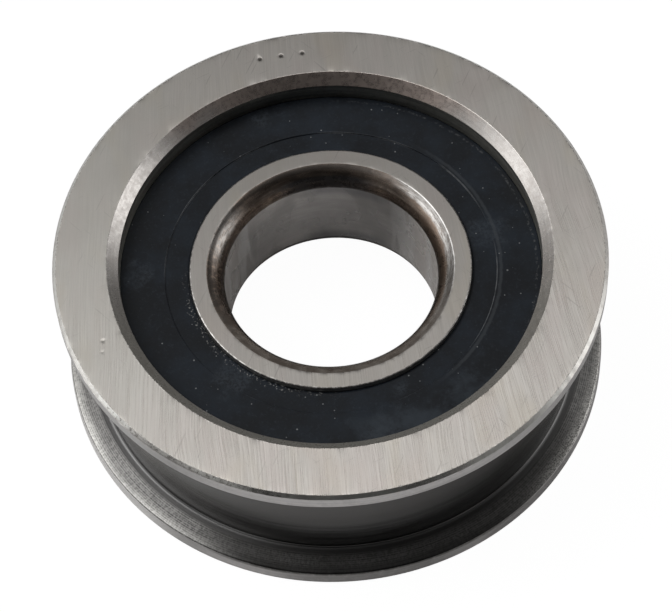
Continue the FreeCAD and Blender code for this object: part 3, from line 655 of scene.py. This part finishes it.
# the edge break's near-white base is partly a painted highlight, toned down by painted shade on the right and in front
EDGE = turned_steel("edge_break", (0.95, 0.905, 0.86), 0.25, (0.2, 0.32), 0.00001, "rz", 0.45, (0.45, 0.42, 0.39), 1.0, contrast=0.6, film=edge_dents_and_painted_shade)
INNER_EDGE = turned_steel("inner_edge_break", (0.66, 0.64, 0.615), 0.25, (0.26, 0.4), 0.00001, "rz", 0.35, (0.3, 0.28, 0.26), 1.0, contrast=0.6, film=inner_edge_film)
RIM = turned_steel("rim_turned", (0.71, 0.685, 0.675), 0.22, (0.3, 0.42), 0.000006, "z", mottle=0.3, dark=(0.50, 0.47, 0.465), contrast=0.6, film=rim_painted_shade_and_highlight)
SHOULDER = shoulder_steel("shoulder_turned")
TRACK = turned_steel("track_ground", (0.265, 0.261, 0.257), 0.14, (0.18, 0.26), 0.000002, "z", contrast=0.5, film=track_painted_shade)
BAND = turned_steel("band_ground", (0.17, 0.168, 0.166), 0.2, (0.32, 0.44), 0.000002, "r", contrast=0.3, film=band_painted_shade)
MOUTH = mouth_steel("mouth_turned")
WALL = turned_steel("wall_turned", (0.44, 0.43, 0.385), 0.2, (0.28, 0.4), 0.000006, "z", 0.4, (0.16, 0.15, 0.125))
SCALE = corner_scale("corner_scale")
BORE = bore_steel("bore_ground")
LAND = turned_steel("land_ground", (0.5, 0.49, 0.47), 0.16, (0.25, 0.35), 0.000004, "z")
RACE = turned_steel("raceway_honed", (0.55, 0.55, 0.55), 0.1, (0.12, 0.2), 0.000001, "z")
RUBBER = rubber("seal_nitrile")

# =====================================================================================================
# Outer ring
# =====================================================================================================
rng = random.Random(41)
NICKS = [(rng.uniform(0, 2 * math.pi), rng.uniform(0.009, 0.018), rng.uniform(0.01, 0.055)) for _ in range(90)]
CHIPS = [(rng.uniform(0, 2 * math.pi), rng.uniform(0.009, 0.018), rng.uniform(0.015, 0.05)) for _ in range(60)]


def nick(angle, marks):
    deep = 0.0
    for at, wide, depth in marks:
        d = (angle - at + math.pi) % (2 * math.pi) - math.pi
        if abs(d) < 3 * wide:
            deep = max(deep, depth * math.exp(-((d / wide) ** 2)))
    return deep




def shape_outer(r, a, z, zone):
    if zone in ("face", "edge") and z > 14.0 and r > 44.2:
        n = nick(a, NICKS)
        share = max(0.0, min(1.0, (r - 44.2) / 0.3))
        r, z = r - n * 0.5 * share, z - n * 0.6 * share
    if zone in ("face", "mouth") and z > 14.3 and r < 36.4:
        n = nick(a, CHIPS) * (1.0 - min(1.0, abs(r - 36.15) / 0.3))
        r, z = r + n * 0.5, z - n * 0.7
    if zone == "face" and z > 14.6:
        x, y = r * math.cos(a), r * math.sin(a)
        for dx, dy, wide in PUNCHED + PITS:
            d = math.hypot(x - dx, y - dy) / wide
            if d < 1.0:
                z -= (0.12 if y > 0 else 0.08) * wide * (1 - d * d)
    return r, min(z, 14.7)


race_out = []
for k in range(17):
    u = -0.842 + 1.684 * k / 16
    race_out.append((28.568 + 6.949 * math.cos(u * 0.8688), 6.949 * math.sin(u * 0.8688)))

# the face has close rings only where the punch marks and the pits are
face_rings = [(r - 36.22) / (44.40 - 36.22) for r in (36.6, 37.6, 38.6, *(38.95 + 0.17 * k for k in range(15)), 42.2, 43.4, 44.15, 44.3)]
outer_top = [
    (33.2, 8.45, 0.0, "seat", 1),
    (35.1, 8.45, 0.0, "seat", 1),
    (35.1, 9.5, 0.0, "seat", 1),
    (34.4, 9.8, 0.0, "wall", 2),
    (34.4, 13.04, 0.12, "mouth", 3),
    (36.15, 14.7, 0.09, "face", face_rings),
    (44.45, 14.7, 0.05, "edge", 2),
    (45.0, 14.15, 0.06, "rim", 1),
    (45.0, 11.53, 0.7, "shoulder", 3),
    (41.67, 10.7, 0.12, "band", 1),
    (40.4, 10.7, 0.6, "track", 3),
]
outer_low = [(r, -z, f, None, 1) for r, z, f, _, _ in reversed(outer_top)]
zones_low = [(s[3], 3 if s[3] == "face" else s[4]) for s in outer_top][:-1][::-1] + [("land", 1)]
outer_low = [(r, z, f, zn, rg) for (r, z, f, _, _), (zn, rg) in zip(outer_low, zones_low)]
outer_section = rounded(outer_top + outer_low)
# the raceway goes between the last corner and the first
outer_section += [(33.2, -5.25, "race")] + [(r, z, "race") for r, z in race_out[1:-1]] + [(33.2, 5.25, "land")]
outer_angles = [2 * math.pi * k / 560 for k in range(560)]
for dx, dy, wide in PUNCHED + PITS:
    at = math.atan2(dy, dx) % (2 * math.pi)
    outer_angles += [at + wide / 40.5 * u for u in (-1.05, -0.7, -0.35, 0.0, 0.35, 0.7, 1.05)]
outer_angles = sorted(outer_angles)
outer_angles = [a for k, a in enumerate(outer_angles) if k == 0 or a - outer_angles[k - 1] > 0.0008]
outer = turned(
    "outer_ring_body",
    outer_section,
    outer_angles,
    {"seat": WALL, "wall": WALL, "mouth": MOUTH, "face": FACE, "edge": EDGE, "rim": RIM, "shoulder": SHOULDER, "band": BAND, "track": TRACK, "land": LAND, "race": RACE},
    shape_outer,
)
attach(outer, "outer_ring")
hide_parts("outer_ring")

# =====================================================================================================
# Inner ring
# =====================================================================================================
corner = []
cx, cz, cr = 21.534, 6.607, 4.11
a0, a1 = math.atan2(7.4 - cz, 17.5 - cx), math.atan2(10.5 - cz, 20.2 - cx)
if a0 < 0:
    a0 += 2 * math.pi
for k in range(0, 15):
    u = a0 + (a1 - a0) * k / 14
    corner.append((cx + cr * math.cos(u), cz + cr * math.sin(u)))
inner_section = []
inner_section += [(17.5, z, "bore") for z in (-7.35, -5, -2.5, 0, 2.5, 5, 7.35)]
inner_section += [(r, z, "scale") for r, z in corner]
inner_section += [(20.26, 10.5, "face")] + [(20.26 + 2.5 * k / 10, 10.5, "face") for k in range(1, 10)] + [(22.76, 10.5, "face")]
for k in range(0, 5):
    u = math.pi / 2 * (1 - k / 4)
    inner_section.append((22.8 + 0.25 * math.cos(u), 10.25 + 0.25 * math.sin(u), "edge" if k < 4 else "land"))
inner_section += [(23.05, 10.2, "land"), (23.05, 9.2, "land"), (23.05, 8.14, "land"), (23.1, 8.09, "land"), (24.68, 7.72, "land"), (24.75, 7.66, "land"), (24.75, 5.62, "land")]
upper = inner_section[4:]
lower = [(r, -z, zone) for r, z, zone in upper if z > 0.1]
lower.reverse()
race_in = []
for k in range(25):
    u = math.pi - 0.924 + 1.848 * k / 24
    race_in.append((28.932 + 6.949 * math.cos(u), 6.949 * math.sin(u)))
race_in = [(r, z) for r, z in race_in if r < 24.74]
zl = []
for i, (r, z, zone) in enumerate(lower):
    zl.append((r, z, lower[i + 1][2] if i + 1 < len(lower) else "bore"))
inner_loop = [(17.5, 0.0, "bore"), (17.5, 2.5, "bore"), (17.5, 5, "bore"), (17.5, 7.35, "bore")] + inner_section[7:]
inner_loop += [(r, z, "race") for r, z in race_in]
inner_loop += [(r, z, zone) for r, z, zone in zl if r > 17.51] + [(17.5, -7.35, "bore"), (17.5, -5, "bore"), (17.5, -2.5, "bore")]

NICKS_IN = [(rng.uniform(0, 2 * math.pi), rng.uniform(0.01, 0.03), rng.uniform(0.008, 0.03)) for _ in range(60)]


def shape_inner(r, a, z, zone):
    if 19.8 < r < 20.6 and abs(z) > 10.2:
        n = nick(a, NICKS_IN)
        share = 1.0 - min(1.0, abs(r - 20.2) / 0.4)
        return r, z - math.copysign(n * share, z)
    return r, z


inner = turned(
    "inner_ring_body",
    inner_loop,
    540,
    {"bore": BORE, "scale": SCALE, "face": INNER_FACE, "edge": INNER_EDGE, "land": LAND, "race": RACE},
    shape_inner,
)
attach(inner, "inner_ring")
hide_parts("inner_ring")

# =====================================================================================================
# Seals
# =====================================================================================================


def seal(place, side):
    top = [
        (23.09, 9.0, 0.0, "r", 1),
        (23.09, 9.4, 0.05, "r", 2),
        (23.45, 9.55, 0.1, "r", 8),
        (27.1, 9.55, 0.05, "r", 1),
        (27.12, 9.78, 0.06, "r", 14),
        (34.33, 9.8, 0.08, "r", 1),
        (34.36, 9.75, 0.0, "r", 1),
        (35.1, 9.45, 0.04, "r", 1),
        (35.1, 8.45, 0.04, "r", 1),
        (34.2, 8.45, 0.0, "r", 1),
        (34.2, 9.0, 0.0, "r", 1),
        (24.6, 9.0, 0.0, "r", 1),
        (24.6, 8.5, 0.0, "r", 1),
        (24.0, 8.5, 0.05, "r", 1),
    ]
    section = rounded(top)
    piece = turned(f"seal_{place}_moulding", [(r, z * side, zone) for r, z, zone in section], 360, {"r": RUBBER})
    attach(piece, "outer_ring")
    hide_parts(f"seal_{place}_rubber")
    return piece


seal("top", 1)
seal("bottom", -1)

# =====================================================================================================
# Hidden pieces keep their CAD shape
# =====================================================================================================
POLISHED = turned_steel("ball_polished", (0.72, 0.72, 0.73), 0.5, (0.04, 0.08), 0.0000002, "z")
PRESSED = turned_steel("cage_pressed", (0.46, 0.45, 0.43), 0.6, (0.32, 0.45), 0.000006, "r", 0.2, (0.3, 0.29, 0.27))
HEADED = turned_steel("rivet_headed", (0.6, 0.59, 0.57), 0.3, (0.25, 0.4), 0.000004, "z")
PLATED = turned_steel("insert_phosphated", (0.12, 0.12, 0.125), 0.4, (0.5, 0.65), 0.000008, "r")
for node, thing in frame["nodes"].items():
    pick = POLISHED if node.startswith("ball") else HEADED if node.endswith("rivets") else PRESSED if node.startswith("cage") else PLATED
    if thing.data.materials:
        for i in range(len(thing.data.materials)):
            thing.data.materials[i] = pick
    else:
        thing.data.materials.append(pick)

# =====================================================================================================
# Floor, light and camera
# =====================================================================================================
floor_mesh = bpy.data.meshes.new("floor")
floor_mesh.from_pydata([(-3, -3, 0), (3, -3, 0), (3, 3, 0), (-3, 3, 0)], [], [(0, 1, 2, 3)])
floor = bpy.data.objects.new("floor", floor_mesh)
floor.location = (0, 0, REST_Z - 0.00003)
bpy.context.scene.collection.objects.link(floor)
ft = Tree("floor_white")
base = ft.nt.nodes.new("ShaderNodeBsdfDiffuse")
base.inputs["Color"].default_value = (0.80, 0.80, 0.80, 1.0)
lit = ft.nt.nodes.new("ShaderNodeEmission")
lit.inputs["Color"].default_value = (1.0, 1.0, 1.0, 1.0)
lit.inputs["Strength"].default_value = 1.06
seen = ft.nt.nodes.new("ShaderNodeLightPath")
share = ft.math("MULTIPLY", seen.outputs["Is Camera Ray"], 0.92)
table = ft.nt.nodes.new("ShaderNodeMixShader")
ft.nt.links.new(share, table.inputs[0])
ft.nt.links.new(base.outputs[0], table.inputs[1])
ft.nt.links.new(lit.outputs[0], table.inputs[2])
ft.nt.links.new(table.outputs[0], ft.out.inputs["Surface"])
floor_mesh.materials.append(ft.mat)

world = bpy.data.worlds.new("studio")
bpy.context.scene.world = world
world.use_nodes = True
nt = world.node_tree
nt.nodes.clear()


class WorldTree(Tree):
    def __init__(self):
        self.nt = nt
        self.out = nt.nodes.new("ShaderNodeOutputWorld")
        self.co = nt.nodes.new("ShaderNodeTexCoord").outputs["Generated"]
        sep = self.node("ShaderNodeSeparateXYZ", Vector=self.vmath("NORMALIZE", self.co))
        self.x, self.y, self.z = sep.outputs


w = WorldTree()
# The studio: a tall soft box high on the left, a lower one on the right, weak light overhead and two small soft patches
# behind the zenith. Each is (azimuth, elevation, sharpness, strength). In front it stays dark, where the camera stood.
AMBIENT = 0.036
BOXES = [
    (0.0, 4.0, 20, 0.80),
    (135.0, 4.0, 20, 0.17),
    (157.5, 4.0, 20, 0.09),
    (180.0, 4.0, 20, 0.60),
    (-157.5, 4.0, 20, 0.10),
    (12.9, 24.0, 20, 1.62),
    (167.1, 24.0, 20, 0.64),
    (163.6, 44.0, 20, 2.72),
    (180.0, 63.0, 20, 1.50),
    (0.0, 84.0, 20, 0.54),
    (60.0, 62.0, 60, 1.45),
    (120.0, 62.0, 60, 1.05),
    (-45.0, 14.0, 60, 0.42),
    (-135.0, 14.0, 60, 0.42),
]
heading = w.vec(w.x, w.y, w.z)
level = AMBIENT
for az, el, sharp, strength in BOXES:
    az, el = math.radians(az), math.radians(el)
    aim = (math.cos(el) * math.cos(az), math.cos(el) * math.sin(az), math.sin(el))
    near = w.math("SUBTRACT", w.vmath("DOT_PRODUCT", heading, aim), 1.0)
    glow = w.math("EXPONENT", w.math("MULTIPLY", near, float(sharp)))
    level = w.math("ADD", level, w.math("MULTIPLY", glow, strength))
light = w.node("ShaderNodeBackground", Color=(1.0, 1.0, 1.0), Strength=level)
pale = w.node("ShaderNodeBackground", Color=(1.0, 1.0, 1.0), Strength=1.0)
path = nt.nodes.new("ShaderNodeLightPath")
mixer = nt.nodes.new("ShaderNodeMixShader")
nt.links.new(path.outputs["Is Camera Ray"], mixer.inputs[0])
nt.links.new(light.outputs[0], mixer.inputs[1])
nt.links.new(pale.outputs[0], mixer.inputs[2])
nt.links.new(mixer.outputs[0], w.out.inputs["Surface"])


# The camera stands where the object's circles say it stood.
D, ELEV, F, ROLL, PX, PY = 449.5, math.radians(57.03), 2781.5, math.radians(-3.825), math.radians(0.057), math.radians(-1.123)
C = Vector((0.0, -D * math.cos(ELEV), D * math.sin(ELEV)))
fw = (-C).normalized()
right = Vector((1, 0, 0))
up = right.cross(fw)
fw2 = (fw + math.tan(PX) * right + math.tan(PY) * up).normalized()
r2 = fw2.cross(up).normalized()
u2 = r2.cross(fw2)
c, s = math.cos(ROLL), math.sin(ROLL)
r3, u3 = c * r2 + s * u2, -s * r2 + c * u2
cam_data = bpy.data.cameras.new("camera")
cam = bpy.data.objects.new("camera", cam_data)
bpy.context.scene.collection.objects.link(cam)
cam_data.sensor_width = 36.0
cam_data.lens = F * 36.0 / 672.0
top_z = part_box("outer_ring")[1].z
place = Matrix.Identity(4)
place.col[0] = (*r3, 0)
place.col[1] = (*u3, 0)
place.col[2] = (*(-fw2), 0)
place.col[3] = (C.x * MM, C.y * MM, C.z * MM + top_z, 1)
cam.matrix_world = place
cam_data.clip_start, cam_data.clip_end = 0.01, 20.0
bpy.context.scene.camera = cam

view_settings = bpy.context.scene.view_settings
view_settings.view_transform = "Standard"
view_settings.look = "None"
